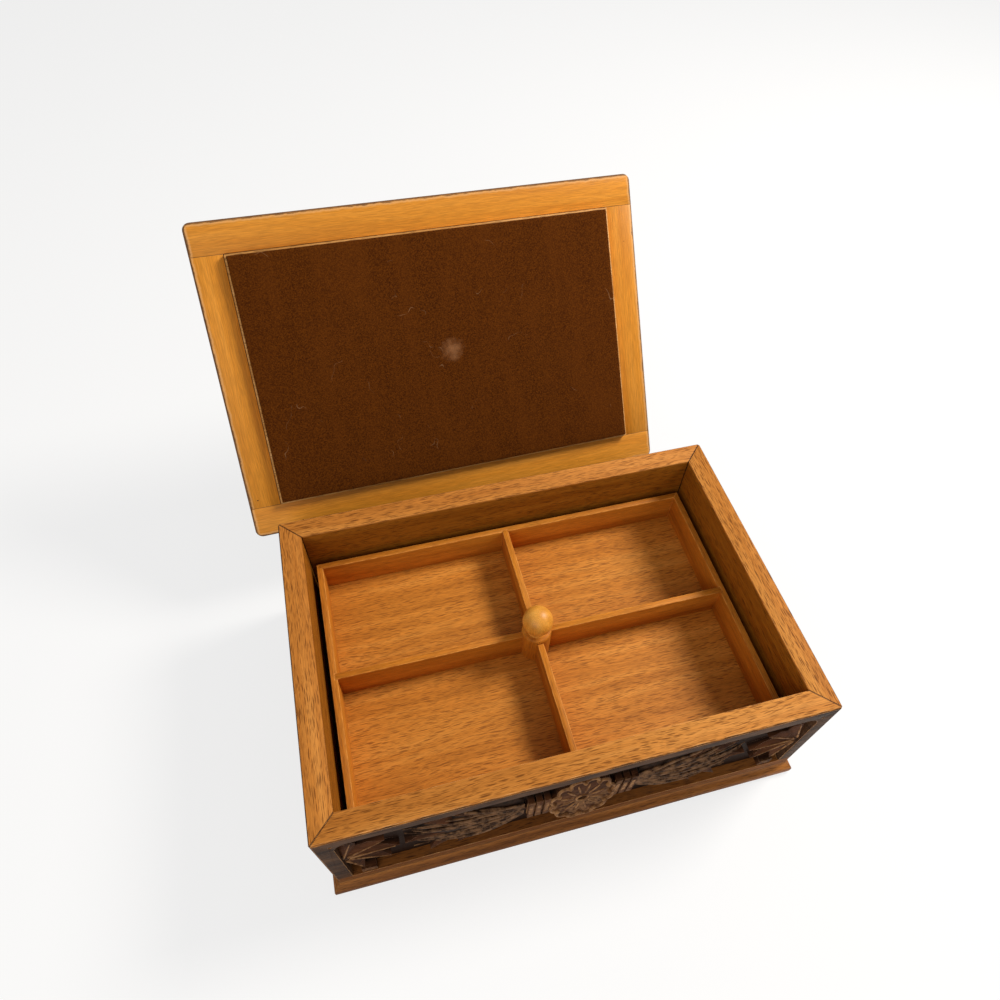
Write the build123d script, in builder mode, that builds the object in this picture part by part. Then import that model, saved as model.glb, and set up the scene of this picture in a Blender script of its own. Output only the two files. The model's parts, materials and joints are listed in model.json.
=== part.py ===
from build123d import *
import os
from math import atan2, cos, degrees, radians, sin, tan

os.makedirs("parts", exist_ok=True)

# Box body: the origin is the middle of its underside, +X to its right, +Y to its back
box_width = 300.0
box_depth = 203.0
box_height = 110.0
wall = 14.0
rim_easing = 0.8
corner_easing = 1.2

# Plinth moulding, which projects from the walls as far as the lid does
plinth_height = 14.0
overhang = 4.0
plinth_lip = 5.0
plinth_quirk = 2.0
plinth_round = 1.5

# Bottom board, let into a rebate of the plinth from below
floor_thickness = 6.0
floor_rebate = 7.0
board_gap = 0.3

# Sunk field of each outer face, and the carved panel glued into it
stile = 10.0
ledge = 8.0
top_band = 10.0
field_corner = 9.0
field_depth = 6.0
ground = 2.5
panel_gap = 0.2

# Brads that pin the mitred corners under the rim
brad_radius = 0.8
brad_sunk = 1.0
brad_inset = 9.0
brad_below_rim = 10.0
bore_gap = 0.05

# Lift-out tray
tray_gap = 4.0
tray_drop = 30.0
tray_height = 28.0
tray_wall = 4.0
tray_floor_thickness = 3.0
tray_floor_lift = 1.0
tray_floor_tongue = 2.0
divider = 4.0
divider_housing = 1.5

# Strips inside the box that the tray stands on
rest_width = 10.0
rest_height = 12.0
rest_chamfer = 3.0

# Turned post and knob at the tray's middle, and the screw that holds the post
post_radius = 9.6
post_rise = 3.0
knob_radius = 9.7
knob_neck = 6.0
knob_lift = 1.5
tenon_radius = 4.0
tenon_length = 11.0
screw_radius = 1.6
screw_head_radius = 3.5
screw_head_angle = 82.0
screw_length = 15.0

# Lid: a grooved frame round a carved panel, with a velvet-faced pad board beneath it
lid_thickness = 14.0
lid_rail = 21.0
lid_corner = 5.0
lid_bevel = 3.0
lid_arris = 1.0
lid_panel_sunk = 4.0
lid_panel_thickness = 5.0
lid_tongue = 5.0
pad_proud = 4.0
pad_gap = 0.5
velvet_pile = 1.0
velvet_margin = 0.5

# Where the lid stands behind the open box: its lower edge's middle, and how it leans
lid_behind = 26.7
lid_below_rim = 43.5
lid_aside = -17.3
lid_lean = 127.5
lid_tip = 2.5
lid_turn = 3.0

# Carved relief: a scalloped rosette between tied leaf sprays and fans
rosette_width = 42.0
rosette_height = 58.0
rosette_lobes = 12
rosette_steps = 4
rosette_notch = 0.12
rosette_low = 2.5
rosette_high = 8.0
eye_radius = 3.2
eye_depth = 1.5
stem_width = 3.4
stem_relief = 3.0
leaf_length = 42.0
leaf_breadth = 13.0
leaf_relief = 4.5
leaf_edge = 1.5
leaf_root = 3.0
leaf_shoulder = 0.35
leaf_narrowing = 0.72
leaf_spread = 46.0
leaf_pitch = 17.0
leaf_from = 15.0
tie_count = 3
tie_width = 3.6
tie_pitch = 4.8
tie_length = 30.0
tie_relief = 5.2
fan_length = 32.0
fan_breadth = 12.0
fan_petals = 5
fan_sweep = 150.0
fan_gap = 3.0
corner_petals = 3
corner_sweep = 56.0
block_width = 9.0
block_height = 7.0
block_relief = 5.5
block_from_end = 6.0
lid_carving_scale = 1.4
lid_relief = 4.0

# Sizes worked out from those above
wall_height = box_height - plinth_height
inner_width = box_width - 2 * wall
inner_depth = box_depth - 2 * wall
field_height = wall_height - ledge - top_band
field_middle = ledge + field_height / 2
brad_length = wall - 2 * brad_sunk
tray_width = inner_width - 2 * tray_gap
tray_depth = inner_depth - 2 * tray_gap
tray_top = box_height - tray_drop
tray_bottom = tray_top - tray_height
tray_floor_bottom = tray_bottom + tray_floor_lift
tray_floor_top = tray_floor_bottom + tray_floor_thickness
tray_inner_width = tray_width - 2 * tray_wall
tray_inner_depth = tray_depth - 2 * tray_wall
tray_floor_width = tray_inner_width + 2 * tray_floor_tongue
tray_floor_depth = tray_inner_depth + 2 * tray_floor_tongue
divider_span_width = tray_inner_width + 2 * divider_housing
divider_span_depth = tray_inner_depth + 2 * divider_housing
post_top = tray_top + post_rise
knob_middle = post_top + knob_lift + knob_radius
knob_neck_drop = (knob_radius**2 - knob_neck**2) ** 0.5
screw_head_height = (screw_head_radius - screw_radius) / tan(radians(screw_head_angle / 2))
lid_width = box_width + 2 * overhang
lid_depth = box_depth + 2 * overhang
lid_opening_width = lid_width - 2 * lid_rail
lid_opening_depth = lid_depth - 2 * lid_rail
lid_ground = lid_thickness - lid_panel_sunk
lid_groove = lid_ground - lid_panel_thickness
pad_width = lid_opening_width - 2 * pad_gap
pad_depth = lid_opening_depth - 2 * pad_gap

# Each side by name: its turn about the box, its length and its distance from the middle
BOX_SIDES = {
    "front": (0, box_width, box_depth / 2),
    "right": (90, box_depth, box_width / 2),
    "back": (180, box_width, box_depth / 2),
    "left": (270, box_depth, box_width / 2),
}
TRAY_SIDES = {
    "front": (0, tray_width, tray_depth / 2),
    "right": (90, tray_depth, tray_width / 2),
    "back": (180, tray_width, tray_depth / 2),
    "left": (270, tray_depth, tray_width / 2),
}


def save(piece, name):
    """Labels a finished piece and writes it under the same name."""
    piece.part.label = name
    export_step(piece.part, f"parts/{name}.step")


def outward(turn):
    return Vector(0, -1, 0).rotate(Axis.Z, turn)


def along(turn):
    return Vector(1, 0, 0).rotate(Axis.Z, turn)


def face_plane(turn, distance, height):
    """Upright plane of a side: x runs along the side, y up and z outwards."""
    origin = outward(turn) * distance + Vector(0, 0, height)
    return Plane(origin=origin, x_dir=along(turn), z_dir=outward(turn))


def plan_plane(turn, distance, height):
    """Level plane of a side: x runs along the side, y inwards and z up."""
    origin = outward(turn) * distance + Vector(0, 0, height)
    return Plane(origin=origin, x_dir=along(turn), z_dir=Vector(0, 0, 1))


def section_plane(turn, distance):
    """Upright plane across a side: x runs inwards, y up and z along the side."""
    origin = outward(turn) * distance
    return Plane(origin=origin, x_dir=-outward(turn), z_dir=along(turn))


def mitred(length, thickness, projection=0.0):
    """A mitred board seen from above, from its outer edge at y = -projection to its inner edge."""
    with BuildSketch(mode=Mode.PRIVATE) as outline:
        with BuildLine():
            Polyline(
                (-length / 2 - projection, -projection),
                (length / 2 + projection, -projection),
                (length / 2 - thickness, thickness),
                (thickness - length / 2, thickness),
                close=True,
            )
        make_face()
    return outline.sketch


def plinth_profile():
    """Section of the plinth: a rounded lip, an ogee, a quirk under the wall, and the rebate."""
    shoulder = plinth_height - plinth_quirk
    ogee_middle = (-overhang / 2, (plinth_lip + shoulder) / 2)
    with BuildSketch(mode=Mode.PRIVATE) as profile:
        with BuildLine():
            Polyline(
                (0, shoulder),
                (0, plinth_height),
                (wall, plinth_height),
                (wall, floor_thickness),
                (wall - floor_rebate, floor_thickness),
                (wall - floor_rebate, 0),
                (plinth_round - overhang, 0),
            )
            RadiusArc((plinth_round - overhang, 0), (-overhang, plinth_round), plinth_round)
            Line((-overhang, plinth_round), (-overhang, plinth_lip))
            TangentArc((-overhang, plinth_lip), ogee_middle, tangent=(0, 1))
            TangentArc((0, shoulder), ogee_middle, tangent=(0, -1))
        make_face()
    return profile.sketch


def make_plinth(turn, length, distance):
    """Mitred base moulding of one side."""
    with BuildPart() as moulding:
        with BuildSketch(section_plane(turn, distance)):
            add(plinth_profile())
        extrude(amount=length / 2 + overhang, both=True)
        with BuildSketch(plan_plane(turn, distance, 0)):
            add(mitred(length, wall, overhang))
        extrude(amount=plinth_height, mode=Mode.INTERSECT)
    return moulding


def field_outline(length, gap):
    """The sunk field of a side, arched at its upper corners, less a gap all round."""
    with BuildSketch(mode=Mode.PRIVATE) as field:
        Rectangle(length - 2 * stile - 2 * gap, field_height - 2 * gap)
        fillet(field.vertices().group_by(Axis.Y)[-1], field_corner - gap)
    return field.sketch


def make_wall(turn, length, distance):
    """Mitred wall board, its outer face sunk between a top band, two stiles and a ledge."""
    with BuildPart() as board:
        with BuildSketch(plan_plane(turn, distance, plinth_height)):
            add(mitred(length, wall))
        extrude(amount=wall_height)
        with BuildSketch(face_plane(turn, distance, plinth_height + field_middle)):
            add(field_outline(length, 0))
        extrude(amount=-field_depth - ground, mode=Mode.SUBTRACT)
        add(eased_block.part, mode=Mode.INTERSECT)
        add(brad_holes.part, mode=Mode.SUBTRACT)
    return board


def leaf(length, breadth, relief):
    """Raised leaf along x, its root just behind the origin, ridged from root to tip."""
    with BuildPart(mode=Mode.PRIVATE) as blade:
        with BuildSketch():
            with BuildLine():
                Polyline(
                    (-leaf_root, 0),
                    (length * leaf_shoulder, -breadth / 2),
                    (length * leaf_narrowing, -breadth / 3),
                    (length, 0),
                    (length * leaf_narrowing, breadth / 3),
                    (length * leaf_shoulder, breadth / 2),
                    close=True,
                )
            make_face()
        extrude(amount=relief)
        for side in (1, -1):
            slope = Plane(
                origin=(0, 0, relief),
                x_dir=(1, 0, 0),
                z_dir=(0, side * (relief - leaf_edge), breadth / 2),
            )
            split(bisect_by=slope, keep=Keep.BOTTOM)
    return blade.part


def rosette(scale, low, high):
    """Scalloped oval that leans out towards its foot, with an eye sunk in its middle."""
    width = rosette_width * scale
    height = rosette_height * scale
    outline = []
    for count in range(rosette_lobes * rosette_steps):
        turn = radians(360 / (rosette_lobes * rosette_steps) * count)
        reach = 1 - rosette_notch * (1 - abs(sin(turn * rosette_lobes / 2)))
        outline.append((cos(turn) * width / 2 * reach, sin(turn) * height / 2 * reach))
    lean = Plane(origin=(0, 0, (low + high) / 2), x_dir=(1, 0, 0), z_dir=(0, high - low, height))
    with BuildPart(mode=Mode.PRIVATE) as oval:
        with BuildSketch():
            with BuildLine():
                Polyline(*outline, close=True)
            make_face()
        extrude(amount=high)
        split(bisect_by=lean, keep=Keep.BOTTOM)
        with BuildSketch(lean):
            Circle(eye_radius * scale)
        extrude(amount=-eye_depth, mode=Mode.SUBTRACT)
    return oval.part


def spray(scale, room):
    """Stem along x with a tied foot, pairs of leaves and an end leaf, within the given room."""
    blade = leaf(leaf_length * scale, leaf_breadth * scale, leaf_relief)
    last = room - leaf_length * scale
    pairs = max(1, int((last - leaf_from * scale) // (leaf_pitch * scale)) + 1)
    with BuildPart(mode=Mode.PRIVATE) as branch:
        with BuildSketch():
            with Locations((last / 2, 0)):
                Rectangle(last, stem_width * scale)
        extrude(amount=stem_relief)
        for count in range(pairs):
            foot = last - leaf_pitch * scale * (pairs - 1 - count)
            for angle in (leaf_spread, -leaf_spread):
                with Locations(Location((foot, 0, 0), (0, 0, angle))):
                    add(blade)
        with Locations((last, 0)):
            add(blade)
        with BuildSketch():
            for count in range(tie_count):
                with Locations((tie_pitch * scale * (count + 0.5), 0)):
                    Rectangle(tie_width * scale, tie_length * scale)
        extrude(amount=tie_relief)
    return branch.part


def fan(sweep, petals):
    """Leaves spread evenly through a sweep about the x direction."""
    blade = leaf(fan_length, fan_breadth, leaf_relief)
    with BuildPart(mode=Mode.PRIVATE) as cluster:
        for count in range(petals):
            angle = sweep * (count / (petals - 1) - 0.5)
            with Locations(Location((0, 0, 0), (0, 0, angle))):
                add(blade)
    return cluster.part


def make_carved_panel(turn, length, distance, fans):
    """Carved panel of one side: its ground board and the rosette, sprays, fans and corner blocks."""
    face = face_plane(turn, distance - field_depth, plinth_height + field_middle)
    half = length / 2 - stile - panel_gap
    foot = rosette_width / 2 - tie_width / 2
    room = half - foot - (fan_length + fan_gap if fans else 0)
    branch = spray(1, room)
    cluster = fan(fan_sweep, fan_petals)
    flower = rosette(1, rosette_low, rosette_high)
    with BuildPart(face) as panel:
        with BuildSketch(face):
            add(field_outline(length, panel_gap))
        extrude(amount=-ground)
        for angle in (0, 180):
            with Locations(Location((cos(radians(angle)) * foot, 0, 0), (0, 0, angle))):
                add(branch)
            if fans:
                with Locations(Location((cos(radians(angle)) * half, 0, 0), (0, 0, angle + 180))):
                    add(cluster)
        with Locations((0, 0)):
            add(flower)
        with BuildSketch(face):
            for side in (1, -1):
                block_x = side * (half - block_from_end - block_width / 2)
                with Locations((block_x, (block_height - field_height) / 2 + panel_gap)):
                    Rectangle(block_width, block_height)
        extrude(amount=block_relief)
        with BuildSketch(face.offset(-ground)):
            add(field_outline(length, panel_gap))
        extrude(amount=ground + rosette_high, mode=Mode.INTERSECT)
    return panel


def make_tray_side(turn, length, distance):
    """Mitred tray side, grooved for the tray's floor and housed for the dividers."""
    with BuildPart() as board:
        with BuildSketch(plan_plane(turn, distance, tray_bottom)):
            add(mitred(length, tray_wall))
        extrude(amount=tray_height)
        with BuildSketch(Plane.XY.offset(tray_floor_bottom)):
            Rectangle(tray_floor_width, tray_floor_depth)
        extrude(amount=tray_floor_thickness, mode=Mode.SUBTRACT)
        with BuildSketch(Plane.XY.offset(tray_floor_top)):
            Rectangle(divider_span_width, divider)
            Rectangle(divider, divider_span_depth)
        extrude(amount=tray_height, mode=Mode.SUBTRACT)
    return board


def make_divider(turn, distance):
    """Tray divider from the turned post to its housing in the tray's side."""
    reach = distance - tray_wall + divider_housing
    with BuildPart() as strip:
        with BuildSketch(plan_plane(turn, 0, tray_floor_top)):
            with Locations((0, -reach / 2)):
                Rectangle(divider, reach)
        extrude(amount=tray_top - tray_floor_top)
        with BuildSketch(Plane.XY.offset(tray_floor_top)):
            Circle(post_radius)
        extrude(amount=tray_height, mode=Mode.SUBTRACT)
    return strip


# Outer form of the walls with its edges eased, and the bores of the corner brads
with BuildPart() as eased_block:
    with BuildSketch(Plane.XY.offset(plinth_height)):
        Rectangle(box_width, box_depth)
    extrude(amount=wall_height)
    chamfer(eased_block.edges().filter_by(Axis.Z), corner_easing)
    chamfer(eased_block.edges().group_by(Axis.Z)[-1], rim_easing)

brad_spots = [(side * (box_width / 2 - brad_inset), -brad_below_rim) for side in (1, -1)]

with BuildPart() as brad_holes:
    for side_name in ("front", "back"):
        with BuildSketch(face_plane(BOX_SIDES[side_name][0], box_depth / 2, box_height)):
            with Locations(*brad_spots):
                Circle(brad_radius + bore_gap)
        extrude(amount=-brad_sunk - brad_length)

# Corner brads, set below the surface of the front and back walls
with BuildPart() as corner_brads:
    for side_name in ("front", "back"):
        with BuildSketch(face_plane(BOX_SIDES[side_name][0], box_depth / 2 - brad_sunk, box_height)):
            with Locations(*brad_spots):
                Circle(brad_radius)
        extrude(amount=-brad_length)
save(corner_brads, "corner_brads")

# Plinth, walls and carved panels, side by side
for side_name, (side_turn, side_length, side_distance) in BOX_SIDES.items():
    save(make_plinth(side_turn, side_length, side_distance), f"plinth_{side_name}")
    save(make_wall(side_turn, side_length, side_distance), f"wall_{side_name}")
    long_side = side_name in ("front", "back")
    save(
        make_carved_panel(side_turn, side_length, side_distance, long_side),
        f"carved_panel_{side_name}",
    )

# Bottom board, flush with the plinth's underside
with BuildPart() as bottom_board:
    with BuildSketch():
        Rectangle(
            inner_width + 2 * floor_rebate - 2 * board_gap,
            inner_depth + 2 * floor_rebate - 2 * board_gap,
        )
    extrude(amount=floor_thickness)
save(bottom_board, "bottom_board")

# Strips glued to the left and right walls, on which the tray stands
for side_name in ("left", "right"):
    rest_plane = plan_plane(BOX_SIDES[side_name][0], inner_width / 2, tray_bottom - rest_height)
    with BuildPart() as tray_rest:
        with BuildSketch(rest_plane):
            with Locations((0, rest_width / 2)):
                Rectangle(inner_depth, rest_width)
        extrude(amount=rest_height)
        underside = tray_rest.edges().group_by(Axis.Z)[0]
        chamfer(underside.sort_by_distance((0, 0, tray_bottom))[0], rest_chamfer)
    save(tray_rest, f"tray_rest_{side_name}")

# Tray sides and dividers
for side_name, (side_turn, side_length, side_distance) in TRAY_SIDES.items():
    save(make_tray_side(side_turn, side_length, side_distance), f"tray_side_{side_name}")
    save(make_divider(side_turn, side_distance), f"tray_divider_{side_name}")

# Tray floor, countersunk beneath for the post's screw
with BuildPart() as tray_floor:
    with BuildSketch(Plane.XY.offset(tray_floor_bottom)):
        Rectangle(tray_floor_width, tray_floor_depth)
    extrude(amount=tray_floor_thickness)
    with Locations(Plane(origin=(0, 0, tray_floor_bottom), x_dir=(1, 0, 0), z_dir=(0, 0, -1))):
        CounterSinkHole(
            screw_radius + bore_gap,
            screw_head_radius + bore_gap,
            tray_floor_thickness,
            screw_head_angle,
        )
save(tray_floor, "tray_floor")

# Turned post, bored above for the knob's tenon and below for the screw
with BuildPart() as tray_post:
    with BuildSketch(Plane.XY.offset(tray_floor_top)):
        Circle(post_radius)
    extrude(amount=post_top - tray_floor_top)
    with BuildSketch(Plane.XY.offset(post_top)):
        Circle(tenon_radius + bore_gap)
    extrude(amount=-tenon_length, mode=Mode.SUBTRACT)
    with BuildSketch(Plane.XY.offset(tray_floor_top)):
        Circle(screw_radius + bore_gap)
    extrude(amount=screw_length - tray_floor_thickness, mode=Mode.SUBTRACT)
save(tray_post, "tray_post")

# Turned ball knob with a neck and a tenon that goes down into the post
with BuildPart() as tray_knob:
    with BuildSketch(Plane.XZ):
        with BuildLine():
            ThreePointArc(
                (0, knob_middle + knob_radius),
                (knob_radius, knob_middle),
                (knob_neck, knob_middle - knob_neck_drop),
            )
            Polyline(
                (knob_neck, knob_middle - knob_neck_drop),
                (knob_neck, post_top),
                (tenon_radius, post_top),
                (tenon_radius, post_top - tenon_length + board_gap),
                (0, post_top - tenon_length + board_gap),
                (0, knob_middle + knob_radius),
            )
        make_face()
    revolve(axis=Axis.Z)
save(tray_knob, "tray_knob")

# Countersunk wood screw from beneath, through the tray's floor into the post
with BuildPart() as post_screw:
    with BuildSketch(Plane.XZ):
        with BuildLine():
            Polyline(
                (0, tray_floor_bottom),
                (screw_head_radius, tray_floor_bottom),
                (screw_radius, tray_floor_bottom + screw_head_height),
                (screw_radius, tray_floor_bottom + screw_length - board_gap),
                (0, tray_floor_bottom + screw_length - board_gap),
                close=True,
            )
        make_face()
    revolve(axis=Axis.Z)
save(post_screw, "post_screw")

# Lid's own plane: x along it, y up to its back edge at 0, and z from its underside to its top
lid_place = Location(
    (lid_aside, box_depth / 2 + lid_behind, box_height - lid_below_rim),
    (-lid_lean, lid_tip, lid_turn),
    Extrinsic.XYZ,
)
lid_plane = Plane(lid_place)
lid_middle = (0, -lid_depth / 2)
lid_upwards = Axis(lid_plane.origin, lid_plane.z_dir)

# Outer form of the lid with its corners rounded and its edges bevelled
with BuildPart() as lid_block:
    with BuildSketch(lid_plane):
        with Locations(lid_middle):
            RectangleRounded(lid_width, lid_depth, lid_corner)
    extrude(amount=lid_thickness)
    chamfer(lid_block.edges().group_by(lid_upwards)[-1], lid_bevel)
    chamfer(lid_block.edges().group_by(lid_upwards)[0], lid_arris)

# Front and back rails of the lid, the whole width of it, grooved for the carved panel
for rail_name, rail_middle in (("front", lid_rail / 2 - lid_depth), ("back", -lid_rail / 2)):
    with BuildPart() as lid_rail_piece:
        with BuildSketch(lid_plane):
            with Locations((0, rail_middle)):
                Rectangle(lid_width, lid_rail)
        extrude(amount=lid_thickness)
        with BuildSketch(lid_plane.offset(lid_groove)):
            with Locations(lid_middle):
                Rectangle(lid_width, lid_opening_depth + 2 * lid_tongue)
        extrude(amount=lid_panel_thickness, mode=Mode.SUBTRACT)
        add(lid_block.part, mode=Mode.INTERSECT)
    save(lid_rail_piece, f"lid_rail_{rail_name}")

# Stiles between the rails, with stub tenons in the rails' grooves
for stile_name, stile_side in (("left", -1), ("right", 1)):
    with BuildPart() as lid_stile:
        stile_middle = (stile_side * (lid_width - lid_rail) / 2, -lid_depth / 2)
        with BuildSketch(lid_plane):
            with Locations(stile_middle):
                Rectangle(lid_rail, lid_opening_depth)
        extrude(amount=lid_thickness)
        with BuildSketch(lid_plane.offset(lid_groove)):
            with Locations(stile_middle):
                Rectangle(lid_rail, lid_opening_depth + 2 * lid_tongue)
        extrude(amount=lid_panel_thickness)
        with BuildSketch(lid_plane.offset(lid_groove)):
            with Locations(lid_middle):
                Rectangle(lid_opening_width + 2 * lid_tongue, lid_opening_depth + 2 * lid_tongue)
        extrude(amount=lid_panel_thickness, mode=Mode.SUBTRACT)
        add(lid_block.part, mode=Mode.INTERSECT)
    save(lid_stile, f"lid_stile_{stile_name}")

# Carved panel, loose in the frame's grooves
lid_foot = (rosette_width / 2 - tie_width / 2) * lid_carving_scale
lid_branch = spray(lid_carving_scale, lid_opening_width / 2 - lid_foot - panel_gap)
lid_cluster = fan(corner_sweep, corner_petals)
lid_flower = rosette(lid_carving_scale, lid_relief, lid_relief)
lid_face = lid_plane.offset(lid_ground)
with BuildPart(lid_face) as lid_carved_panel:
    with BuildSketch(lid_face):
        with Locations(lid_middle):
            Rectangle(
                lid_opening_width + 2 * lid_tongue - 2 * board_gap,
                lid_opening_depth + 2 * lid_tongue - 2 * board_gap,
            )
    extrude(amount=-lid_panel_thickness)
    for branch_angle in (0, 180):
        branch_x = cos(radians(branch_angle)) * lid_foot
        with Locations(Location((branch_x, -lid_depth / 2, 0), (0, 0, branch_angle))):
            add(lid_branch)
    for side_x in (1, -1):
        for side_y in (1, -1):
            corner = (
                side_x * (lid_opening_width / 2 - fan_breadth / 2),
                side_y * (lid_opening_depth / 2 - fan_breadth / 2) - lid_depth / 2,
                0,
            )
            inwards = degrees(atan2(-side_y, -side_x))
            with Locations(Location(corner, (0, 0, inwards))):
                add(lid_cluster)
    with Locations(lid_middle):
        add(lid_flower)
save(lid_carved_panel, "lid_carved_panel")

# Pad board under the panel, and the velvet glued to its face
with BuildPart() as lid_pad_board:
    with BuildSketch(lid_plane.offset(-pad_proud)):
        with Locations(lid_middle):
            Rectangle(pad_width, pad_depth)
    extrude(amount=pad_proud + lid_groove)
save(lid_pad_board, "lid_pad_board")

with BuildPart() as lid_velvet:
    with BuildSketch(lid_plane.offset(-pad_proud - velvet_pile)):
        with Locations(lid_middle):
            Rectangle(pad_width - 2 * velvet_margin, pad_depth - 2 * velvet_margin)
    extrude(amount=velvet_pile)
save(lid_velvet, "lid_velvet")
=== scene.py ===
import json
from math import atan2, cos, pi, radians, sin, sqrt
from random import Random

import bpy
from mathutils import Euler, Matrix, Vector

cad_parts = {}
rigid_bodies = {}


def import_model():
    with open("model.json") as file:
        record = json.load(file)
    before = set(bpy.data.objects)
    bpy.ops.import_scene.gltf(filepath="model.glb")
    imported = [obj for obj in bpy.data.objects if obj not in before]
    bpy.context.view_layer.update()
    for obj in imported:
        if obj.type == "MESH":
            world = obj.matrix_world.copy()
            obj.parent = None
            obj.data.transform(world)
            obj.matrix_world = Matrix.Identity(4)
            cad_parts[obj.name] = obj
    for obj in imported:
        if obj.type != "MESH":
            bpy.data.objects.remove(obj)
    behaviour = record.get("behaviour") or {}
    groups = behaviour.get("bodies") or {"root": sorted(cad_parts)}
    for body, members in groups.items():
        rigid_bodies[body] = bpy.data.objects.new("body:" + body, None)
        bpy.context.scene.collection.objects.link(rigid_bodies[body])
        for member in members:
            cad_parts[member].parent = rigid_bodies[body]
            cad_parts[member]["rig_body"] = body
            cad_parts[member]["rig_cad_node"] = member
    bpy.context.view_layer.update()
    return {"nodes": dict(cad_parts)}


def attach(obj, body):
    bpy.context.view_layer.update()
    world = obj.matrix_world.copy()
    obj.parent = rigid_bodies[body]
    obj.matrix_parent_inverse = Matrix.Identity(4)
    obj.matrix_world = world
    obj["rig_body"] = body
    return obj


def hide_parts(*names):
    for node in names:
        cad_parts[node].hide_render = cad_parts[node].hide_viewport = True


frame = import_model()

mm = 0.001

# Sizes of the box that the finishes and the carving line up with, in metres
box_width = 300 * mm
box_depth = 203 * mm
box_height = 110 * mm
wall = 14 * mm
stile = 10 * mm
plinth_height = 14 * mm
ledge = 8 * mm
top_band = 10 * mm
field_depth = 6 * mm
tray_floor_top = 56 * mm
post_top = 83 * mm
post_radius = 9.6 * mm
post_round = 2 * mm
knob_radius = 9.7 * mm
knob_neck = 6 * mm
knob_lift = 1.5 * mm
neck_flare = 0.5 * mm
neck_flare_height = 0.6 * mm
turned_facets = 72

# Lid: its size and where its back edge stands, turned so that z is its upper face
lid_width = 308 * mm
lid_depth = 211 * mm
lid_ground = 10 * mm
pad_width = 265 * mm
pad_depth = 168 * mm
pad_face = -4 * mm
velvet_margin = 1.2 * mm
velvet_pile = 1 * mm
velvet_round = 0.4 * mm
velvet_columns = 88
velvet_rows = 56
lid_place = Vector((-17.3 * mm, 128.2 * mm, 66.5 * mm))
lid_turn = (radians(-127.5), radians(2.5), radians(3.0))
lid_matrix = Matrix.Translation(lid_place) @ Euler(lid_turn).to_matrix().to_4x4()

# Carving on the panels: rosette, ties, sheaves and end fans
rosette_width = 42 * mm
rosette_height = 58 * mm
rosette_lobes = 12
rosette_notch = 0.12
rosette_low = 2.5 * mm
rosette_high = 8 * mm
lid_carving_scale = 1.4
lid_rosette_lift = 3.6 * mm
tie_pitch = 4.8 * mm
tie_length = 30 * mm
tie_count = 3
tie_foot = 19.2 * mm
sheaf_from = 35 * mm
sheaf_spread = 30 * mm
sheaf_root = 9 * mm
sheaf_lift = 5 * mm
sheaf_count = 28
lid_sheaf_length = 78 * mm
lid_sheaf_count = 48
lid_sheaf_drop = 1 * mm
fan_length = 32 * mm
fan_petals = 5
fan_sweep = radians(150)
panel_gap = 0.2 * mm

# Fine carving: how thick its strands are, how high they lie and what share of a motif they reach
rim_radius = 1.1 * mm
rim_lift = 0.2 * mm
rim_share = 0.95
bead_radius = 1.7 * mm
bead_lift = 0.3 * mm
bead_share = 0.93
stroke_radius = 0.65 * mm
stroke_start = 0.26
stroke_reach = 0.4
eye_radius = 3.7 * mm
bar_radius = 2.1 * mm
bar_lift = 3.4 * mm
strand_radius = 0.75 * mm
strand_low = 0.5 * mm
rib_radius = 0.7 * mm
rib_lift = 4.4 * mm
rib_start = 0.12
rib_reach = 0.8

# Mound under a sheaf and the dome on which its strands lie, as shares of its length and spread
mound_middle = 0.42
mound_reach = 0.48
mound_breadth = 0.88
mound_foot = 0.1 * mm
dome_reach = 0.56
dome_breadth = 1.05

# How far each kind of edge is eased, and the angles that tell edges apart
wall_ease = 0.25 * mm
plinth_ease = 0.3 * mm
tray_ease = 0.35 * mm
lid_ease = 0.2 * mm
carving_ease = 0.3 * mm
board_ease = 0.5 * mm
weld_distance = 0.005 * mm
flat_angle = radians(0.5)
sharp_angle = radians(30)
smooth_angle = radians(40)

# Each carved side: its turn about the box, its distance from the middle and its sheaves' length
SIDES = {
    "front": (0, box_depth / 2, 70 * mm),
    "right": (radians(90), box_width / 2, 52 * mm),
    "back": (radians(180), box_depth / 2, 70 * mm),
    "left": (radians(270), box_width / 2, 52 * mm),
}

# Camera as fitted to the photograph
camera_sensor = 36.0
camera_lens = 26.45
camera_place = (-83.65 * mm, -199.7 * mm, 510.3 * mm)
camera_turn = (radians(36.551), radians(-1.045), radians(-14.386))

# Each lamp's place, target, width and power, in metres and watts
LAMPS = {
    "key": ((1.0, 0.2, 1.1), (0, 0, 0.05), 0.5, 21.5),
    "fill": ((-0.7, -0.9, 0.8), (0, 0, 0.1), 1.2, 5.5),
}
lamp_colour = (1.0, 0.95, 0.88)
room_light = 0.29
floor_size = 8
floor_white = (0.9, 0.9, 0.9, 1)
floor_glow = 0.75


def tone(red, green, blue):
    """Scene-linear colour of what should look like this on a 0 to 255 scale."""
    steps = [value / 255 for value in (red, green, blue)]
    return tuple(v / 12.92 if v <= 0.04045 else ((v + 0.055) / 1.055) ** 2.4 for v in steps) + (1.0,)


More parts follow.
